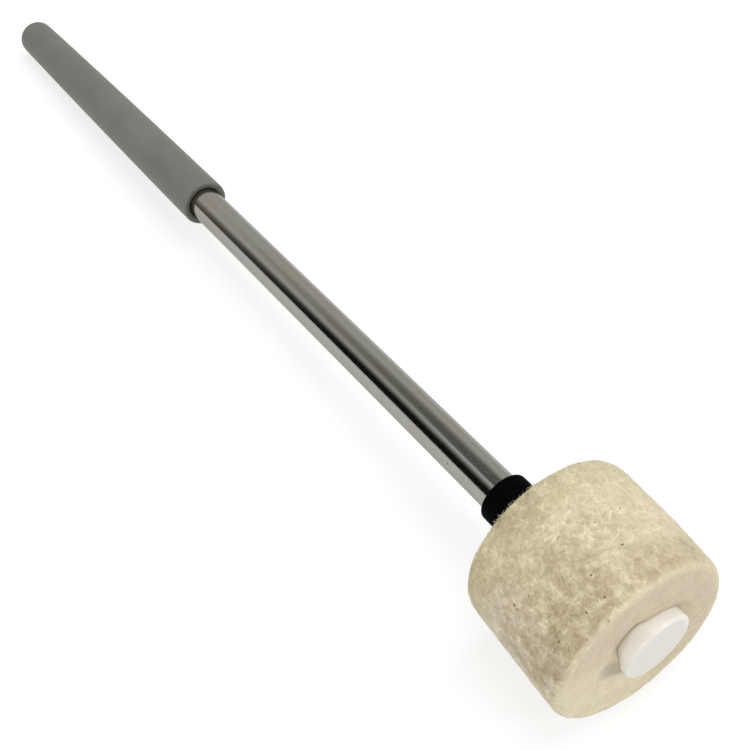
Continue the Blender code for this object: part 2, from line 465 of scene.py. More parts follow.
def metal_material(name, colour, stained, roughness):
    """Drawn metal: marks along the tube, finer scratches round it and a few faint stains."""
    lie = (0, -math.degrees(math.asin(AXIS[2])), 0)
    material, tree, shader = new_material(name, roughness, metallic=1.0, more=METAL_EDGES)
    draw_marks = grain(tree, *DRAW_MARKS, lie)
    scratches = grain(tree, *SCRATCHES, lie, roughness=0.7)
    stain = grain(tree, *STAINS, lie, roughness=0.6)
    along = node(tree, "ShaderNodeSeparateXYZ", ((0, object_place(tree)),)).outputs["X"]
    more = ramp(tree, along, STAINED_TO, STAINED_FROM, 0.0, STAINED_MORE)
    stain = ramp(tree, maths(tree, "ADD", stain, more), 0.52, 0.70)
    tone = blend(tree, stain, colour, stained)
    speckle = ramp(tree, grain(tree, *SPECKLE, lie), 0.36, 0.64)
    speckle = blend(tree, speckle, *SPECKLE_TINTS)
    speckled = ramp(tree, along, WORN_FROM, WORN_TO, *WORN_SPECKLE)
    tone = tint(tree, tone, blend(tree, speckled, (1.0,) * 3, speckle))
    # the pit's painted shade: a dark spot, with no dent in the mesh or the bump
    pit = straight(SHAFT_RADIUS, PIT_ANGLE, PIT_STATION)
    inputs = ((0, object_place(tree)), (1, pit))
    away = node(tree, "ShaderNodeVectorMath", inputs, operation="DISTANCE").outputs["Value"]
    pitted = ramp(tree, away, PIT_RADIUS, PIT_RADIUS / 3, 0.0, PIT_SHADE_STRENGTH)
    tone = blend(tree, pitted, tone, PIT_SHADE_TONE)
    scratched = product(tree, scratches, ramp(tree, along, WORN_FROM, WORN_TO, *WORN_SCRATCHES))
    height = maths(tree, "ADD", product(tree, draw_marks, DRAW_MARK_HEIGHT), scratched)
    rough = [roughness * spread for spread in METAL_ROUGHNESS_SPREAD]
    rough = ramp(tree, scratches, 0.35, 0.75, *rough)
    finish_material(tree, shader, tone, bump(tree, height, METAL_BUMP), rough)
    return material


def make_shaft():
    inner = SHAFT_RADIUS - SHAFT_WALL
    profile = [
        (inner, SHAFT_END),
        (SHAFT_RADIUS - SHAFT_EDGE, SHAFT_END),
        (SHAFT_RADIUS, SHAFT_END - SHAFT_EDGE),
        (SHAFT_RADIUS, SHAFT_START + SHAFT_EDGE),
        (SHAFT_RADIUS - SHAFT_EDGE, SHAFT_START),
        (inner, SHAFT_START),
    ]
    shaft = grid_object("shaft", rings(profile, SHAFT_STEPS, straight))
    material = metal_material("shaft_metal", SHAFT_TONE, SHAFT_STAIN, SHAFT_ROUGHNESS)
    add(shaft, "shaft_tube", material)


# The collar

COLLAR_ROUND_DEPTH = 0.45 * MM
COLLAR_ROUND_LENGTH = 0.7 * MM
COLLAR_ROUND_POINTS = 9
COLLAR_STEPS = 128
COLLAR_TONE = (0.001,) * 3
COLLAR_ROUGHNESS = 0.75
BLACK_SPECULAR = 0.02
BLACK_SPECK_SIZE = 0.4 * MM
BLACK_DULL = 1.9
BLACK_BUMP = 0.03 * MM


def black_material(name, colour, roughness):
    """Matt black with a fine, slightly paler speck."""
    material, tree, shader = new_material(name, roughness, specular=BLACK_SPECULAR)
    speck = grain(tree, BLACK_SPECK_SIZE, 3.0)
    dull = [channel * BLACK_DULL for channel in colour]
    tone = blend(tree, ramp(tree, speck, 0.4, 0.7), colour, dull)
    finish_material(tree, shader, tone, bump(tree, speck, BLACK_BUMP))
    return material


def make_collar():
    inner = SHAFT_RADIUS + CLEARANCE
    rear_edge = (COLLAR_RADIUS, COLLAR_START, COLLAR_ROUND_DEPTH, -COLLAR_ROUND_LENGTH)
    profile = [
        (inner, COLLAR_END),
        (COLLAR_RADIUS, COLLAR_END),
        *outer_edge(*rear_edge, COLLAR_ROUND_POINTS),
        (inner, COLLAR_START),
    ]
    collar = grid_object("collar", rings(profile, COLLAR_STEPS, straight))
    material = black_material("collar_rubber", COLLAR_TONE, COLLAR_ROUGHNESS)
    add(collar, "stop_collar", material)


# The boss, which is a little out of true where it stands out of the felt

BOSS_RADIUS = 9.78 * MM
BOSS_ROUND = 0.9 * MM
BOSS_SHIFT_ACROSS = 0.4 * MM
BOSS_SLOPE_ACROSS = -0.017
BOSS_SLOPE_UP = 0.05
BOSS_EASE = 4 * MM


def out_of_felt(station):
    """0 inside the felt, eased to 1 at its face and past it."""
    return smooth((station - HEAD_END + BOSS_EASE) / BOSS_EASE)


# The felt. Its outside leans a little off the axis, and its two faces are not quite square.

FELT_BORE = BOSS_RADIUS + 0.02 * MM
FELT_LIP = 0.25 * MM
FELT_RADIUS = 24.95 * MM
FELT_REAR = HEAD_START + 0.17 * MM
FELT_FRONT = HEAD_END + 0.44 * MM
FELT_CROWN = 0.72 * MM
FELT_CROWN_ANGLE = math.radians(45)
FELT_TAPER = -0.004
FELT_LEAN = (-0.068, -0.022)
FELT_SHIFT = (0.353 * MM, 0.069 * MM)
FELT_FRONT_SLOPE = (0.041, 0.012)
FELT_REAR_SLOPE = (0.024, -0.005)

# Depth and length of the rounds at the front and the rear
FELT_FRONT_ROUND = (2.0 * MM, 2.5 * MM)
FELT_REAR_ROUND = (1.2 * MM, 3.7 * MM)

# How the face meets the boss: it dips and stands off, creeps up the boss and has a notch
FELT_DIP = 0.85 * MM
FELT_STAND_OFF = 0.3 * MM
FELT_DIP_REACH = 5 * MM
FELT_CREEP = 1.3 * MM
FELT_CREEP_REACH = 2.6 * MM
FELT_NOTCH = 1.0 * MM
NOTCH_ANGLE = 36
NOTCH_WIDTH = 17

# Windows of the turn in degrees: start, rise, end and fall
DIP_TURN = (98, 24, 176, 20)
CREEP_TURN = (163, 28, 290, 60)

# The steps of the felt's grid round its turn, and its rows in their order
FELT_STEPS = 400
FELT_BORE_ROWS = 6
FELT_LIP_ROWS = 8
FELT_FACE_ROWS = 36
FELT_FRONT_RIM = FELT_BORE_ROWS + FELT_LIP_ROWS + FELT_FACE_ROWS
FELT_FRONT_ROUND_ROWS = 16
FELT_SIDE_START = FELT_FRONT_RIM + FELT_FRONT_ROUND_ROWS
FELT_SIDE_ROWS = 84
FELT_SIDE_END = FELT_SIDE_START + FELT_SIDE_ROWS
FELT_REAR_ROUND_ROWS = 14

# Sizes and heights of the soft unevenness of pressed wool
FELT_SWELLS = ((11 * MM, 0.10 * MM), (3.2 * MM, 0.08 * MM), (1.1 * MM, 0.04 * MM))
FELT_SWELL_EASE = 1.5 * MM


def set_back(turned):
    """How far the felt's face is set back round the boss."""
    notch = np.exp(-(((turned - NOTCH_ANGLE) / NOTCH_WIDTH) ** 2))
    return FELT_DIP * window(turned, *DIP_TURN) + FELT_NOTCH * notch


def felt_place(radius, angle, station):
    """The felt's points. The bore stays round the core, and the outside leans away."""
    turned = in_degrees(angle)
    share = (station - FELT_REAR) / (FELT_FRONT - FELT_REAR)
    weight = smooth((radius - FELT_BORE - FELT_LIP) / (FELT_RADIUS - FELT_BORE - FELT_LIP))
    towards_crown = np.maximum(0, np.cos(angle - FELT_CROWN_ANGLE)) ** 2
    crown = 4 * share * (1 - share) * FELT_CROWN * towards_crown
    taper = FELT_TAPER * (station - (FELT_REAR + FELT_FRONT) / 2)
    mouth = out_of_felt(station) * smooth(1 - (radius - FELT_BORE) / FELT_DIP_REACH)
    widened = mouth * window(turned, *DIP_TURN) * FELT_STAND_OFF
    radius = radius + weight * (taper + crown) + widened
    across, up = radius * np.cos(angle), radius * np.sin(angle)
    creep = FELT_CREEP * (window(turned, *CREEP_TURN) * out_of_felt(station))
    creep = creep * smooth(1 - (radius - FELT_BORE) / FELT_CREEP_REACH)
    dip = set_back(turned) * mouth - creep
    slopes = [r + (f - r) * share for r, f in zip(FELT_REAR_SLOPE, FELT_FRONT_SLOPE)]
    shifts = [
        weight * (shift + lean * (station - FELT_REAR))
        for shift, lean in zip(FELT_SHIFT, FELT_LEAN)
    ]
    return to_world(
        across + shifts[0] + mouth * BOSS_SHIFT_ACROSS,
        up + shifts[1],
        station + slopes[0] * across + slopes[1] * up - dip,
    )


def felt_profile():
    front_depth, front_length = FELT_FRONT_ROUND
    rear_depth, rear_length = FELT_REAR_ROUND
    front_edge, rear_edge = FELT_RADIUS - front_depth, FELT_RADIUS - rear_depth
    face_radii = np.linspace(FELT_BORE + FELT_LIP, front_edge, FELT_FACE_ROWS, endpoint=False)
    bore = (FELT_BORE, HEAD_END - BOSS_EASE), (FELT_BORE, FELT_FRONT - FELT_LIP)
    side = (FELT_RADIUS, FELT_FRONT - front_length), (FELT_RADIUS, FELT_REAR + rear_length)
    front_round = (FELT_RADIUS, FELT_FRONT, front_depth, front_length)
    rear_round = (FELT_RADIUS, FELT_REAR, rear_depth, -rear_length)
    return [
        *between(*bore, FELT_BORE_ROWS),
        *mouth_edge(FELT_BORE, FELT_FRONT, FELT_LIP, FELT_LIP_ROWS, endpoint=False),
        *[(radius, FELT_FRONT) for radius in face_radii],
        *outer_edge(*front_round, FELT_FRONT_ROUND_ROWS),
        *between(*side, FELT_SIDE_ROWS),
        *outer_edge(*rear_round, FELT_REAR_ROUND_ROWS),
        *between((rear_edge, FELT_REAR), (FELT_BORE, FELT_REAR), FELT_FACE_ROWS),
        (FELT_BORE, FELT_REAR),
    ]


def outward(points):
    """The outward direction at each point of a closed grid."""
    round_it = np.roll(points, -1, 0) - np.roll(points, 1, 0)
    along = np.roll(points, -1, 1) - np.roll(points, 1, 1)
    normal = np.cross(along, round_it)
    return normal / np.linalg.norm(normal, axis=-1, keepdims=True)


def felt_grid():
    """The felt's points, with its soft unevenness, and none of them under the floor."""
    profile = felt_profile()
    points = rings(profile, FELT_STEPS, felt_place)
    normals = outward(points)
    swell = np.zeros(points.shape[:2])
    for size, height in FELT_SWELLS:
        flat = (points / size).reshape(-1, 3).tolist()
        values = [noise.noise(place) for place in flat]
        swell += height * np.array(values).reshape(swell.shape)
    radius = np.array(profile)[:, 0]
    swell *= smooth((radius - FELT_BORE) / FELT_SWELL_EASE)
    points = points + normals * swell[..., None]
    points[..., 2] = np.maximum(points[..., 2], 0)
    return points


# Where the felt differs. Windows of the turn in degrees: start, rise, end and fall

BROWN_TURN = (85, 45, 205, 25)
TAN_TURN = (128, 16, 176, 8)
DUSK_TURN = (30, 30, 114, 24)
NARROW_RIM_TURN = (120, 20, 185, 15)
UPPER_RIM_TURN = (20, 25, 112, 25)
LOW_FACE_TURN = (150, 50, 300, 40)
GREY_TURN = (140, 30, 300, 40)
COARSE_TURN = (60, 45, 190, 35)

# Along the axis: how far behind the front or past the rear it starts or ends, and its ease
TAN_ALONG = (9.8 * MM, 1.2 * MM)
DUSK_ALONG = (10 * MM, 5 * MM)
BROWN_ALONG = (8 * MM, 18 * MM)
REAR_ALONG = (15 * MM, 11 * MM)
BROWN_LEAST = 0.4

# Along the grid's rows: start, rise and distances of the end and fall from the last row
SIDE_ROWS = (5, 5, 2, 4)

# The painted highlight along the front rim: its middle and width in rows, and what the narrow
# window takes off each
RIM_ROW = (4, 4)
RIM_WIDTH = (4.5, 1.8)

# How much weaker the painted rim highlight is in the upper and in the narrow window
UPPER_RIM_DIMMING = 0.8
NARROW_RIM_DIMMING = 0.35

# The face's outer bound and its ease in rows, and what the upper window adds to them
FACE_ROW = (1.5, 14)
FACE_EASE = (3, 9)

# The share of coarse mottling on the side, what is added in its window, and off the side
COARSE = (0.45, 0.45, 0.3)

# The painted shadow of the boss on the felt's face, towards -Y and down from it
BOSS_SHADOW_PLACE = (-10.6 * MM, -3.0 * MM)
BOSS_SHADOW_RADIUS = 3.0 * MM
BOSS_SHADOW_REACH = 1.6
BOSS_SHADOW_ALONG = (3 * MM, 1 * MM)


def felt_marks(points):
    """Where the felt differs, as shares from 0 to 1 by name."""
    across, up, station = from_world(points)
    angle = in_degrees(np.arctan2(up, across))
    rows = points.shape[1]
    row = np.arange(rows) * np.ones(points.shape[:2])
    start, rise, end, fall = SIDE_ROWS
    side = window(row, FELT_FRONT_RIM + start, rise, rows - end, fall)

    def before_front(reach, ease):
        return smooth((station - HEAD_END + reach) / ease)

    past_rear = smooth((station - HEAD_START - BROWN_ALONG[0]) / BROWN_ALONG[1])
    tan = before_front(*TAN_ALONG) * window(angle, *TAN_TURN)
    dusk = before_front(*DUSK_ALONG) * window(angle, *DUSK_TURN)
    narrow_rim = window(angle, *NARROW_RIM_TURN)
    upper_rim = window(angle, *UPPER_RIM_TURN)
    # the painted highlight along the front rim
    rim_highlight = row - FELT_FRONT_RIM - RIM_ROW[0] + RIM_ROW[1] * narrow_rim
    rim_highlight = rim_highlight / (RIM_WIDTH[0] - RIM_WIDTH[1] * narrow_rim)
    face = FELT_FRONT_RIM + FACE_ROW[0] + FACE_ROW[1] * upper_rim - row
    # the painted shadow of the boss on the felt's face
    distance = np.hypot(across - BOSS_SHADOW_PLACE[0], up - BOSS_SHADOW_PLACE[1])
    boss_shadow = smooth(BOSS_SHADOW_REACH - distance / BOSS_SHADOW_RADIUS)
    coarse = side * (COARSE[0] + COARSE[1] * window(angle, *COARSE_TURN))
    brown = BROWN_LEAST + (1 - BROWN_LEAST) * past_rear
    return {
        "face": smooth(face / (FACE_EASE[0] + FACE_EASE[1] * upper_rim)),
        "face_low": window(angle, *LOW_FACE_TURN),
        "rim_highlight": np.exp(-(rim_highlight**2)) * (1 - UPPER_RIM_DIMMING * upper_rim) * (1 - NARROW_RIM_DIMMING * narrow_rim),
        "rear": side * smooth((HEAD_START + REAR_ALONG[0] - station) / REAR_ALONG[1]),
        "brown": side * window(angle, *BROWN_TURN) * brown,
        "tan": side * np.maximum(tan, dusk),
        "grey": side * window(angle, *GREY_TURN),
        "coarse": coarse + COARSE[2] * (1 - side),
        "boss_shadow": boss_shadow * before_front(*BOSS_SHADOW_ALONG),
    }


# The felt's colours

FELT_CREAM = (0.71, 0.635, 0.455)
FELT_CLOUD = (0.645, 0.573, 0.415)
FELT_BEHIND = (0.64, 0.575, 0.395)
FELT_BROWN = (0.485, 0.40, 0.262)
FELT_TAN = (0.49, 0.402, 0.27)
FELT_GREY = (0.70, 0.64, 0.52)
FELT_FACE = (0.68, 0.58, 0.43)
FELT_FACE_LOW = (0.78, 0.70, 0.525)
# Pale wool of the streaks, and the painted highlight along the front rim
FELT_PALE_AND_RIM_HIGHLIGHT = (0.80, 0.725, 0.54)
FELT_PIT = (0.22, 0.17, 0.10)
# The colour of the painted shadow beside the boss
FELT_BOSS_SHADOW = (0.45, 0.39, 0.295)
FELT_CLOUD_SIZE = 6 * MM
FELT_BLOTCH_SIZE = 3.5 * MM
LEAST_TAN = 0.55
GREY_STRENGTH = 0.8
# The painted rim highlight's strength
RIM_HIGHLIGHT_STRENGTH = 0.75
# The painted shadow's strength beside the boss
BOSS_SHADOW_STRENGTH = 0.8

# Size, depth, stretch and turns of each kind of mottling
CROSSED_TURNS = ((0, 0, 30), (0, 0, -40), (0, 35, 5), (0, -40, 80))
MOTTLES = (
    (4.5 * MM, 0.10, 1, ((0, 0, 0),)),
    (1.8 * MM, 0.11, 1, ((0, 0, 0),)),
    (0.60 * MM, 0.12, 5, CROSSED_TURNS),
)

# Half a mottling ramp's width, and how far its middle rises with each further turn
MOTTLE_SPREAD = 0.16
MOTTLE_RISE = 0.045
MOTTLE_DARK = (0.85, 1.0, 1.3)
MOTTLE_LIGHT = (0.80, 0.85, 0.95)


def crossed_grain(tree, operation, size, detail, stretch, turns):
    """Noise stretched along several turned axes, of which operation takes the most or least."""
    result = None
    for turn in turns:
        streak = grain(tree, size, detail, (stretch, 1, 1), turn)
        result = maths(tree, operation, result, streak) if result else streak
    return result


def felt_colour(tree):
    """The felt's colour by region, without fibres, with painted rim highlight and boss shadow.
    """
    cloud = ramp(tree, grain(tree, FELT_CLOUD_SIZE, 4.0), 0.35, 0.68)
    blotch = ramp(tree, grain(tree, FELT_BLOTCH_SIZE, 3.0), 0.35, 0.60)
    face = blend(tree, read_mark(tree, "face_low"), FELT_FACE, FELT_FACE_LOW)
    colour = blend(tree, cloud, FELT_CREAM, FELT_CLOUD)
    layers = (
        ("grey", GREY_STRENGTH, FELT_GREY),
        ("rear", 1.0, FELT_BEHIND),
        ("brown", blotch, FELT_BROWN),
        ("tan", maths(tree, "MAXIMUM", blotch, LEAST_TAN), FELT_TAN),
        ("face", 1.0, face),
        # a painted highlight along the front rim
        ("rim_highlight", RIM_HIGHLIGHT_STRENGTH, FELT_PALE_AND_RIM_HIGHLIGHT),
        # a painted shadow beside the boss
        ("boss_shadow", BOSS_SHADOW_STRENGTH, FELT_BOSS_SHADOW),
    )
    for mark, strength, layer in layers:
        colour = blend(tree, product(tree, read_mark(tree, mark), strength), colour, layer)
    for size, depth, stretch, turns in MOTTLES:
        lump = crossed_grain(tree, "MAXIMUM", size, 1.0, stretch, turns)
        middle = 0.5 + MOTTLE_RISE * (len(turns) - 1)
        lump = ramp(tree, lump, middle - MOTTLE_SPREAD, middle + MOTTLE_SPREAD)
        dark = [1 - share * depth for share in MOTTLE_DARK]
        light = [1 + share * depth for share in MOTTLE_LIGHT]
        mottle = blend(tree, lump, dark, light)
        mottle = blend(tree, read_mark(tree, "coarse"), (1.0, 1.0, 1.0), mottle)
        colour = tint(tree, colour, mottle)
    return colour


# The felt's surface

STREAK_TURNS = ((0, 0, 25), (0, 0, -35), (0, 35, 0), (0, 40, 90), (0, -35, 90))
STREAKS = (0.75 * MM, 1.0, 6, STREAK_TURNS)
TUFT_SIZE = 0.9 * MM
WOOL_PIT_SIZE = 0.8 * MM
QUIET_FACE = 0.25
TUFT_STRENGTH = 0.30
PALE_STRENGTH = 0.25
WOOL_PIT_STRENGTH = 0.6
WOOL_PIT_SHARPNESS = 12.0

# On plain felt and on brown felt
DARK_STRENGTH = (0.06, 0.22)
WOOL_PIT_START = (0.72, 0.66)

FELT_ROUGHNESS = 0.95
FELT_SPECULAR = 0.15
FELT_SHEEN = (("Sheen Weight", 0.2), ("Sheen Roughness", 0.5))
FELT_BUMP = 0.03 * MM


def felt_material():
    """Pressed wool: pale and dark streaks, tufts and pits, all weaker on the front face."""
    material, tree, shader = new_material(
        "felt_wool", FELT_ROUGHNESS, specular=FELT_SPECULAR, more=FELT_SHEEN
    )
    pale = ramp(tree, crossed_grain(tree, "MAXIMUM", *STREAKS), 0.58, 0.80)
    dark = ramp(tree, crossed_grain(tree, "MINIMUM", *STREAKS), 0.42, 0.22)
    tuft = grain(tree, TUFT_SIZE, 2.0, roughness=0.6)
    face, brown = read_mark(tree, "face"), read_mark(tree, "brown")
    quiet = ramp(tree, face, 0.0, 1.0, 1.0, QUIET_FACE)
    on_side = ramp(tree, face, 0.0, 0.5, 1.0, 0.0)
    start = ramp(tree, brown, 0.0, 1.0, *WOOL_PIT_START)
    pits = maths(tree, "SUBTRACT", grain(tree, WOOL_PIT_SIZE, 1.0), start)
    pits = product(tree, pits, WOOL_PIT_SHARPNESS)
    pits = product(tree, ramp(tree, pits, 0.0, 1.0, 0.0, WOOL_PIT_STRENGTH), on_side)
    tufts = product(tree, ramp(tree, tuft, 0.55, 0.30, 0.0, TUFT_STRENGTH), quiet)
    darker = product(tree, dark, ramp(tree, brown, 0.0, 1.0, *DARK_STRENGTH), quiet)
    paler = product(tree, pale, PALE_STRENGTH, quiet)
    colour = blend(tree, tufts, felt_colour(tree), FELT_TAN)
    colour = blend(tree, darker, colour, FELT_PIT)
    colour = blend(tree, paler, colour, FELT_PALE_AND_RIM_HIGHLIGHT)
    colour = blend(tree, pits, colour, FELT_PIT)
    height = maths(tree, "SUBTRACT", maths(tree, "ADD", pale, tuft), dark)
    height = product(tree, maths(tree, "SUBTRACT", height, pits), quiet)
    finish_material(tree, shader, colour, bump(tree, height, FELT_BUMP))
    return material


# The felt's strands, flecks and fuzz

FIBRE_SECTION = ((1, 0), (0, 0.20), (-1, 0), (0, -0.20))
FIBRE_TAPER = (0.5, 0.9, 1.0, 1.0, 0.9, 0.5)
FIBRE_POINTS = len(FIBRE_TAPER)
FIBRE_DIP = 0.6
FIBRE_ROUGHNESS = 0.9
FIBRE_GRAIN_SIZE = 0.25 * MM
FIBRE_GRAIN_TINTS = ((0.94,) * 3, (1.05,) * 3)

# The share of the fibres that lie along or round the felt, and how far they stray from that
FIBRE_CROSSED = 0.6
FIBRE_WANDER = 0.45

# What is left of the fibres on the front face, and the rows past its rim where they set in
FACE_FIBRES = 0.04
FACE_FIBRE_ROWS = 6

# The darkest and the lightest tint of each kind of fibre
FIBRE_KINDS = {
    "felt_strand": ((0.93, 0.92, 0.91), (1.04, 1.05, 1.07)),
    "felt_pale_strand": ((1.06, 1.07, 1.09), (1.18, 1.20, 1.25)),
    "felt_fleck": ((0.24, 0.21, 0.17), (0.55, 0.50, 0.43)),
    "felt_fuzz": ((1.0, 1.03, 1.1), (1.25, 1.3, 1.45)),
}

# Angles and stations of the largest dark flecks, in degrees and millimetres
FLECK_SPOTS = ((92, 358.5), (116, 359.6), (131, 364.2), (119, 365.2), (158, 349.7), (152, 364))

# Piece, kind, count, lengths, widths, curl, seed and the rest
FIBRE_LAYERS = (
    (
        "felt_strands_broad", "felt_strand",
        1700, (2.0 * MM, 6.0 * MM), (0.38 * MM, 0.70 * MM), 0.03, 3, {"rise": 0.01},
    ),
    (
        "felt_strands_pale", "felt_pale_strand",
        360, (2.6 * MM, 6.5 * MM), (0.36 * MM, 0.55 * MM), 0.03, 7, {"rise": 0.09},
    ),
    (
        "felt_flecks", "felt_fleck",
        46, (0.3 * MM, 0.8 * MM), (0.20 * MM, 0.36 * MM), 0.2, 5, {},
    ),
    (
        "felt_flecks_large", "felt_fleck",
        len(FLECK_SPOTS), (0.5 * MM, 1.3 * MM), (0.35 * MM, 0.50 * MM), 0.2, 9,
        {"spots": FLECK_SPOTS},
    ),
    (
        "felt_fuzz", "felt_fuzz",
        500, (0.8 * MM, 2.0 * MM), (0.08 * MM, 0.13 * MM), 0.25, 6,
        {"rise": 0.3, "lift": 0.3 * MM, "rows": (FELT_SIDE_END - 4, FELT_SIDE_END + 18)},
    ),
    (
        "felt_fuzz_by_collar", "felt_fuzz",
        300, (0.8 * MM, 2.6 * MM), (0.06 * MM, 0.11 * MM), 0.5, 8,
        {"rise": 0.3, "lift": 1.1 * MM, "rows": (FELT_SIDE_END - 4, FELT_SIDE_END + 14),
         "turns": (0.28, 0.385)},
    ),
)


def nearest_on_side(points, spots):
    """The turns and columns of the felt's grid that are nearest to spots on its side."""
    across, up, station = from_world(points[:, FELT_SIDE_START:FELT_SIDE_END])
    angle = np.degrees(np.arctan2(up, across))
    found = []
    for spot_angle, spot_station in spots:
        turned = np.radians((angle - spot_angle + 180) % 360 - 180)
        distance = np.hypot(turned * FELT_RADIUS, station - spot_station * MM)
        found.append(np.unravel_index(distance.argmin(), distance.shape))
    found = np.array(found, float)
    return found[:, 0], found[:, 1] + FELT_SIDE_START


def between_points(points, normals, turn, column):
    """The felt's points and outward directions between those of its grid, and the turns and
    columns just before them."""
    steps = len(points)
    low_turn, low_column = np.floor(turn).astype(int), np.floor(column).astype(int)
    t, c = (turn - low_turn)[:, None], (column - low_column)[:, None]
    here, face_up = np.zeros((len(turn), 3)), np.zeros((len(turn), 3))
    for i, turn_share in ((0, 1 - t), (1, t)):
        for j, column_share in ((0, 1 - c), (1, c)):
            place = (low_turn + i) % steps, low_column + j
            here += points[place] * turn_share * column_share
            face_up += normals[place] * turn_share * column_share
    face_up /= np.linalg.norm(face_up, axis=1, keepdims=True)
    return here, face_up, low_turn % steps, low_column


def lay_fibres(
    felt, count, lengths, widths, curl, seed,
    rise=0.25, lift=0.0, rows=None, turns=(0, 1), spots=(),
):
    """Points of closed flat strands that wander over the felt and dip into it at both ends,
    or stand off it by up to lift at one end. Also each point's place on the felt's grid."""
    points, normals, density = felt
    rng = np.random.default_rng(seed)
    steps, columns, _ = points.shape
    spacing = np.linalg.norm(np.roll(points, -1, 1) - points, axis=-1).mean(0)
    girth = np.linalg.norm(np.roll(points, -1, 0) - points, axis=-1).mean(0)
    first, last = rows or (FELT_LIP_ROWS, columns - FELT_FACE_ROWS // 3)
    weight = (spacing * girth)[first:last] * density[first:last]
    column = first + rng.choice(last - first, count, p=weight / weight.sum()) + rng.random(count)
    turn = (turns[0] + rng.random(count) * (turns[1] - turns[0])) * steps
    if spots:
        turn, column = nearest_on_side(points, spots)
    crossed = rng.integers(0, 2, count) * QUARTER_TURN + rng.normal(0, FIBRE_WANDER, count)
    is_crossed = rng.random(count) < FIBRE_CROSSED
    heading = np.where(is_crossed, crossed, rng.random(count) * FULL_TURN)
    bend = rng.normal(0, curl, count)
    length = rng.uniform(*lengths, count)
    width = rng.uniform(*widths, count)
    raised = rng.random(count) * lift
    path, up, places = [], [], []
    for share in np.linspace(0, 1, FIBRE_POINTS):
        here, face_up, low_turn, low_column = between_points(points, normals, turn, column)
        dip = width * (2 * share - 1) ** 4 * FIBRE_DIP * (1 - share if lift else 1)
        path.append(here + face_up * (width * rise - dip + raised * share**2)[:, None])
        up.append(face_up)
        places.append((low_turn, low_column))
        step = length / (FIBRE_POINTS - 1)
        turn = turn + step * np.sin(heading) / girth[low_column]
        column = column + step * np.cos(heading) / spacing[low_column]
        column = np.clip(column, FELT_LIP_ROWS, columns - 3)
        heading = heading + bend
    path, up = np.array(path), np.array(up)
    ahead = np.gradient(path, axis=0)
    across = np.cross(ahead, up)
    across /= np.linalg.norm(across, axis=-1, keepdims=True)
    half = width[None, :, None] / 2 * np.array(FIBRE_TAPER)[:, None, None]
    corners = [path + half * (across * a + up * b) for a, b in FIBRE_SECTION]
    strands = np.stack(corners, 2).transpose(1, 0, 2, 3)
    places = np.array(places).transpose(1, 2, 0)
    return strands, places, rng.random(count)


def fibre_faces(count, ring_count, corner_count):
    """The faces of many closed strands, whose rings all have the same number of corners."""
    start = np.arange(count)[:, None, None] * ring_count * corner_count
    ring = np.arange(ring_count - 1)[None, :, None] * corner_count
    corner = np.arange(corner_count)[None, None, :]
    following = (corner + 1) % corner_count
    low, high = start + ring, start + ring + corner_count
    sides = (low + corner, low + following, high + following, high + corner)
    sides = np.stack(np.broadcast_arrays(*sides), -1).reshape(-1, corner_count)
    first = start[:, 0, 0][:, None] + np.arange(corner_count)
    last = first + (ring_count - 1) * corner_count
    return np.concatenate((sides, first[:, ::-1], last))


def fibre_object(name, felt, marks, material, *measures, **options):
    """One object of many loose strands on the felt, none of them under the floor."""
    strands, places, tone = lay_fibres(felt, *measures, **options)
    strands[..., 2] = np.maximum(strands[..., 2], 0)
    shape = strands.shape[:3]
    fibres = mesh_object(name, strands, fibre_faces(*shape))
    for mark, values in marks.items():
        here = values[places[0], places[1]][..., None]
        set_mark(fibres.data, mark, np.broadcast_to(here, shape))
    set_mark(fibres.data, "tone", np.broadcast_to(tone[:, None, None], shape))
    add(fibres, None, material)


def fibre_material(name, dark, light):
    """The felt's own colour, made darker or lighter fibre by fibre."""
    material, tree, shader = new_material(name, FIBRE_ROUGHNESS, specular=FELT_SPECULAR)
    colour = blend(tree, read_mark(tree, "tone"), dark, light)
    fine = ramp(tree, grain(tree, FIBRE_GRAIN_SIZE, 2.0), 0.35, 0.65)
    colour = tint(tree, colour, blend(tree, fine, *FIBRE_GRAIN_TINTS))
    finish_material(tree, shader, tint(tree, colour, felt_colour(tree)))
    return material


def make_felt():
    points = felt_grid()
    normals = outward(points)
    marks = felt_marks(points)
    felt = grid_object("felt", points)
    for name, values in marks.items():
        set_mark(felt.data, name, values)
    add(felt, "felt_head", felt_material())
    row = np.arange(points.shape[1])
    on_face = smooth((FELT_FRONT_RIM + FACE_FIBRE_ROWS - row) / FACE_FIBRE_ROWS)
    lay = (points, normals, 1 - (1 - FACE_FIBRES) * on_face)
    materials = {kind: fibre_material(kind, *tints) for kind, tints in FIBRE_KINDS.items()}
    for name, kind, *measures, options in FIBRE_LAYERS:
        fibre_object(name, lay, marks, materials[kind], *measures, **options)


# The core, of which the boss in the felt's face shows

CORE_FRONT_WALL = 8 * MM
CORE_REAR_CHAMFER = 0.8 * MM
CORE_STEPS = 160
CORE_FLAT_POINTS = 24
CORE_ROUND_POINTS = 13
CORE_SIDE_POINTS = 12

# How far felt dirt and painted shade reach up the boss's wall, least and most, and where most
BASE_REACH = (0.5 * MM, 2.4 * MM)
BASE_TURN = (122, 30, 240, 30)
BASE_FALLOFF = 1.5

NYLON_TONES = ((0.83, 0.805, 0.765), (0.865, 0.845, 0.805))
# The painted shade on the boss's flat front
NYLON_FLAT_SHADED = (0.765, 0.745, 0.705)
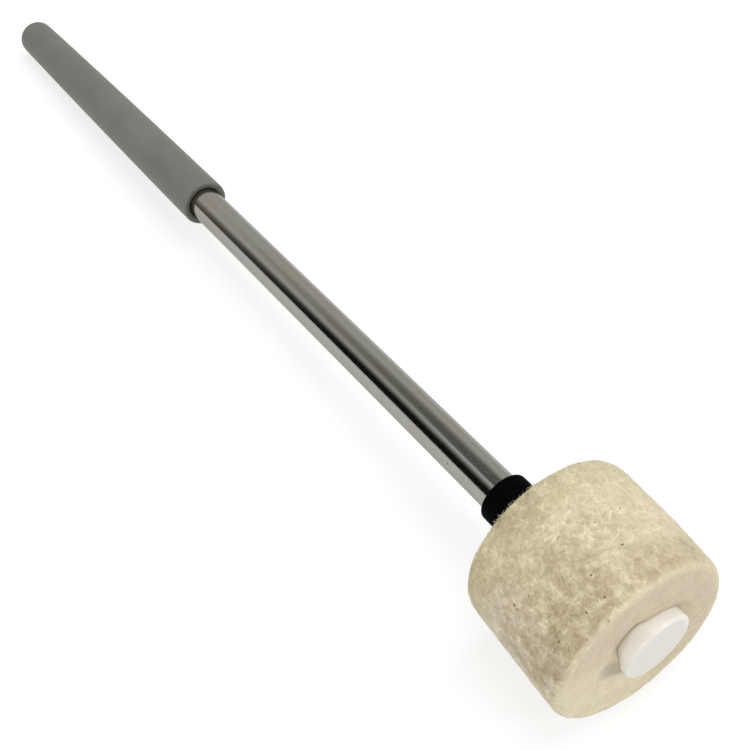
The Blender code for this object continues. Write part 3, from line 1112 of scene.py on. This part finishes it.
# Felt dirt and painted shade at the foot of the boss's wall
NYLON_FOOT_DIRT_AND_SHADE = (0.60, 0.53, 0.42)
NYLON_ROUGHNESS = 0.38
NYLON_GLOW = (
    ("Subsurface Weight", 0.15),
    ("Subsurface Radius", (1.0 * MM, 0.9 * MM, 0.8 * MM)),
    ("Subsurface Scale", 1.0),
)
NYLON_CLOUD_SIZE = 4 * MM
NYLON_SPECK_SIZE = 0.4 * MM
NYLON_BUMP = 0.012 * MM


def boss_place(radius, angle, station):
    """The core's points. Only the boss, past the felt's face, is a little out of true."""
    across, up = radius * np.cos(angle), radius * np.sin(angle)
    out = out_of_felt(station)
    return to_world(
        across + out * BOSS_SHIFT_ACROSS,
        up,
        station + out * (BOSS_SLOPE_ACROSS * across + BOSS_SLOPE_UP * up),
    )


def base_mark(points):
    """1 where the boss's wall leaves the felt, easing to 0 over a reach up the wall."""
    across, up, station = from_world(points)
    turned = in_degrees(np.arctan2(up, across))
    felt_face = FELT_FRONT + FELT_FRONT_SLOPE[0] * across + FELT_FRONT_SLOPE[1] * up
    felt_face = felt_face - set_back(turned)
    least, most = BASE_REACH
    reach = least + (most - least) * window(turned, *BASE_TURN)
    return np.clip(1 - (station - felt_face) / reach, 0, 1) ** BASE_FALLOFF


def flat_mark(points):
    """1 on the boss's flat front, easing to 0 over its rounded edge, where shade is painted."""
    _, _, station = from_world(points)
    inwards = BOSS_RADIUS - BOSS_ROUND / 2 - radius_of(points)
    return smooth(inwards / BOSS_ROUND) * (station > HEAD_END)


def nylon_material():
    """Satin nylon with faint clouds, painted shade on the flat, and felt dirt and painted shade
    where the wall meets the felt.
    """
    material, tree, shader = new_material("core_nylon", NYLON_ROUGHNESS, more=NYLON_GLOW)
    cloud = ramp(tree, grain(tree, NYLON_CLOUD_SIZE, 3.0), 0.3, 0.7)
    colour = blend(tree, cloud, *NYLON_TONES)
    # painted shade on the boss's flat front
    colour = blend(tree, read_mark(tree, "flat"), colour, NYLON_FLAT_SHADED)
    # felt dirt and painted shade where the boss's wall meets the felt
    colour = blend(tree, read_mark(tree, "base"), colour, NYLON_FOOT_DIRT_AND_SHADE)
    speck = grain(tree, NYLON_SPECK_SIZE, 2.0)
    finish_material(tree, shader, colour, bump(tree, speck, NYLON_BUMP))
    return material


def make_core():
    bore = SHAFT_RADIUS + CLEARANCE
    floor_of_bore = CORE_END - CORE_FRONT_WALL
    flat_edge = BOSS_RADIUS - BOSS_ROUND
    flat = np.linspace(0, flat_edge, CORE_FLAT_POINTS, endpoint=False)
    side = (BOSS_RADIUS, CORE_END - BOSS_ROUND), (BOSS_RADIUS, HEAD_END - BOSS_EASE)
    profile = [
        *[(radius, CORE_END) for radius in flat],
        *outer_edge(BOSS_RADIUS, CORE_END, BOSS_ROUND, BOSS_ROUND, CORE_ROUND_POINTS),
        *between(*side, CORE_SIDE_POINTS),
        (BOSS_RADIUS, CORE_START + CORE_REAR_CHAMFER),
        (BOSS_RADIUS - CORE_REAR_CHAMFER, CORE_START),
        (bore, CORE_START),
        (bore, floor_of_bore),
        (0, floor_of_bore),
    ]
    core = grid_object("core", rings(profile, CORE_STEPS, boss_place), closed=False)
    points = np.array([vertex.co for vertex in core.data.vertices])
    set_mark(core.data, "base", base_mark(points))
    set_mark(core.data, "flat", flat_mark(points))
    add(core, "head_core", nylon_material())


# The CAD nodes that stay, inside the mallet

PLUG_PLASTIC = ((0.02, 0.02, 0.02), 0.45)
INSERT_METAL = ((0.70, 0.70, 0.71), (0.62, 0.61, 0.60), 0.38)
PIN_METAL = ((0.40, 0.40, 0.41), (0.34, 0.32, 0.30), 0.35)


def finish_hidden_nodes():
    finishes = {
        "shaft_end_plug": black_material("plug_plastic", *PLUG_PLASTIC),
        "shaft_insert": metal_material("insert_metal", *INSERT_METAL),
        "retaining_pin": metal_material("pin_steel", *PIN_METAL),
    }
    for name, material in finishes.items():
        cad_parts[name].material_slots[0].material = material


# The studio

FLOOR_SIZE = 6
FLOOR_PAPER = (0.8, 0.8, 0.8, 1)
FLOOR_SHADED = (0.3, 0.3, 0.3, 1)
FLOOR_GLOW = 0.75

# The sky as light and as mirrored, each round the horizon and overhead
SKY_LIGHT = ((0.60, 0.585, 0.55), (0.10, 0.10, 0.095))
SKY_MIRRORED = ((0.76, 0.745, 0.71), (0.14, 0.14, 0.135))
SKY_RISE = (0.56, 0.86)

# Name, place, size and power
LAMPS = (
    ("key", (0.05, 0.2, 1.05), 0.8, 7.4),
    ("front", (0.82, 0.48, 0.46), 0.2, 1.8),
    ("fill", (0.35, -0.9, 0.45), 0.8, 2.8),
)

# Name, first corner, width, height, soft edges, low and high tone and where it rises
CARDS = (
    (
        "dark_side", (-1.8, -0.8, 0.0), (2.05, 0, 0), (0, 0, 1.25),
        (0.56, 0.13, 0.0, 0.15), 0.01, 0.44, (0.34, 0.85),
    ),
    (
        "overhead_glow", (-0.87, -0.85, 1.0), (0.52, 0, 0), (0, 0.5, 0),
        (0.45, 0.4, 0.4, 0.4), 0.85, 0.85, (0.0, 1.0),
    ),
)

CAMERA_PLACE = (0.25676, -0.12700, 0.25429)
CAMERA_TURN = (43.6309, -0.0474, 55.55)
CAMERA_LENS = 53.52
CAMERA_SENSOR = 36
CAMERA_NEAR = 10 * MM


def make_floor():
    """White paper. It glows where it is seen, so that only the object's shadow shades it."""
    bpy.ops.mesh.primitive_plane_add(size=FLOOR_SIZE)
    floor = bpy.context.object
    floor.name = "floor"
    material, tree = empty_material("floor_white")
    paper = node(tree, "ShaderNodeBsdfDiffuse", (("Color", FLOOR_PAPER),))
    shaded = node(tree, "ShaderNodeBsdfDiffuse", (("Color", FLOOR_SHADED),))
    glow = node(tree, "ShaderNodeEmission", (("Strength", FLOOR_GLOW),))
    both = ((0, shaded.outputs[0]), (1, glow.outputs[0]))
    rays = node(tree, "ShaderNodeLightPath").outputs
    seen = maths(tree, "MAXIMUM", rays["Is Camera Ray"], rays["Is Glossy Ray"])
    seen = maths(tree, "MAXIMUM", seen, rays["Is Transmission Ray"])
    show_mix(tree, seen, paper, node(tree, "ShaderNodeAddShader", both))
    floor.data.materials.append(material)


def make_lamp(name, place, size, power):
    """A square lamp that faces the origin."""
    light = bpy.data.lights.new(name, "AREA")
    light.size = size
    light.energy = power
    lamp = new_object(name, light)
    lamp.location = place
    lamp.rotation_euler = (-lamp.location).to_track_quat("-Z", "Y").to_euler()


def make_world():
    """Even grey round the horizon, and darker overhead."""
    world = bpy.data.worlds.new("studio")
    bpy.context.scene.world = world
    world.use_nodes = True
    tree = world.node_tree
    sky = tree.nodes["Background"]
    direction = node(tree, "ShaderNodeTexCoord").outputs["Generated"]
    height = node(tree, "ShaderNodeSeparateXYZ", ((0, direction),)).outputs["Z"]
    overhead = ramp(tree, height, *SKY_RISE)
    light = blend(tree, overhead, *SKY_LIGHT)
    mirrored = blend(tree, overhead, *SKY_MIRRORED)
    glossy = node(tree, "ShaderNodeLightPath").outputs["Is Glossy Ray"]
    tree.links.new(blend(tree, glossy, light, mirrored), sky.inputs["Color"])


def card_material(name, soft_edges, low_tone, high_tone, rise):
    material, tree = empty_material(name)
    place = node(tree, "ShaderNodeTexCoord").outputs["UV"]
    parts = node(tree, "ShaderNodeSeparateXYZ", ((0, place),)).outputs
    across, up = parts["X"], parts["Y"]
    left, right, bottom, top = soft_edges
    sides = (across, 0.0, left), (across, 1.0, 1 - right), (up, 0.0, bottom), (up, 1.0, 1 - top)
    edges = [ramp(tree, value, start, end) for value, start, end in sides if start != end]
    tone = ramp(tree, up, *rise, low_tone, high_tone)
    glow = node(tree, "ShaderNodeEmission", (("Strength", tone),))
    show_mix(tree, product(tree, *edges), node(tree, "ShaderNodeBsdfTransparent"), glow)
    return material


def make_card(name, corner, width, height, *finish):
    """A glowing card that only the metal and gloss show, from a corner and the vectors of its
    sides. The finish is the shares of its sides over which it fades out, its low and high
    tone, and where along its height the tone rises."""
    corner, width, height = Vector(corner), Vector(width), Vector(height)
    mesh = bpy.data.meshes.new(name)
    outline = (corner, corner + width, corner + width + height, corner + height)
    mesh.from_pydata([tuple(point) for point in outline], [], [(0, 1, 2, 3)])
    layer = mesh.uv_layers.new(name="card")
    for loop, place in zip(layer.data, ((0, 0), (1, 0), (1, 1), (0, 1))):
        loop.uv = place
    card = new_object(name, mesh)
    card.data.materials.append(card_material(name, *finish))
    card.visible_camera = card.visible_diffuse = card.visible_shadow = False


def make_camera():
    camera = bpy.data.cameras.new("camera")
    camera.lens = CAMERA_LENS
    camera.sensor_width = CAMERA_SENSOR
    camera.clip_start = CAMERA_NEAR
    view = new_object("camera", camera)
    view.location = CAMERA_PLACE
    view.rotation_euler = [math.radians(turn) for turn in CAMERA_TURN]
    bpy.context.scene.camera = view


make_camera()
make_grip()
make_shaft()
make_collar()
make_felt()
make_core()
finish_hidden_nodes()
make_floor()
make_world()
for lamp in LAMPS:
    make_lamp(*lamp)
for card in CARDS:
    make_card(*card)
bpy.context.scene.view_settings.view_transform = "Standard"
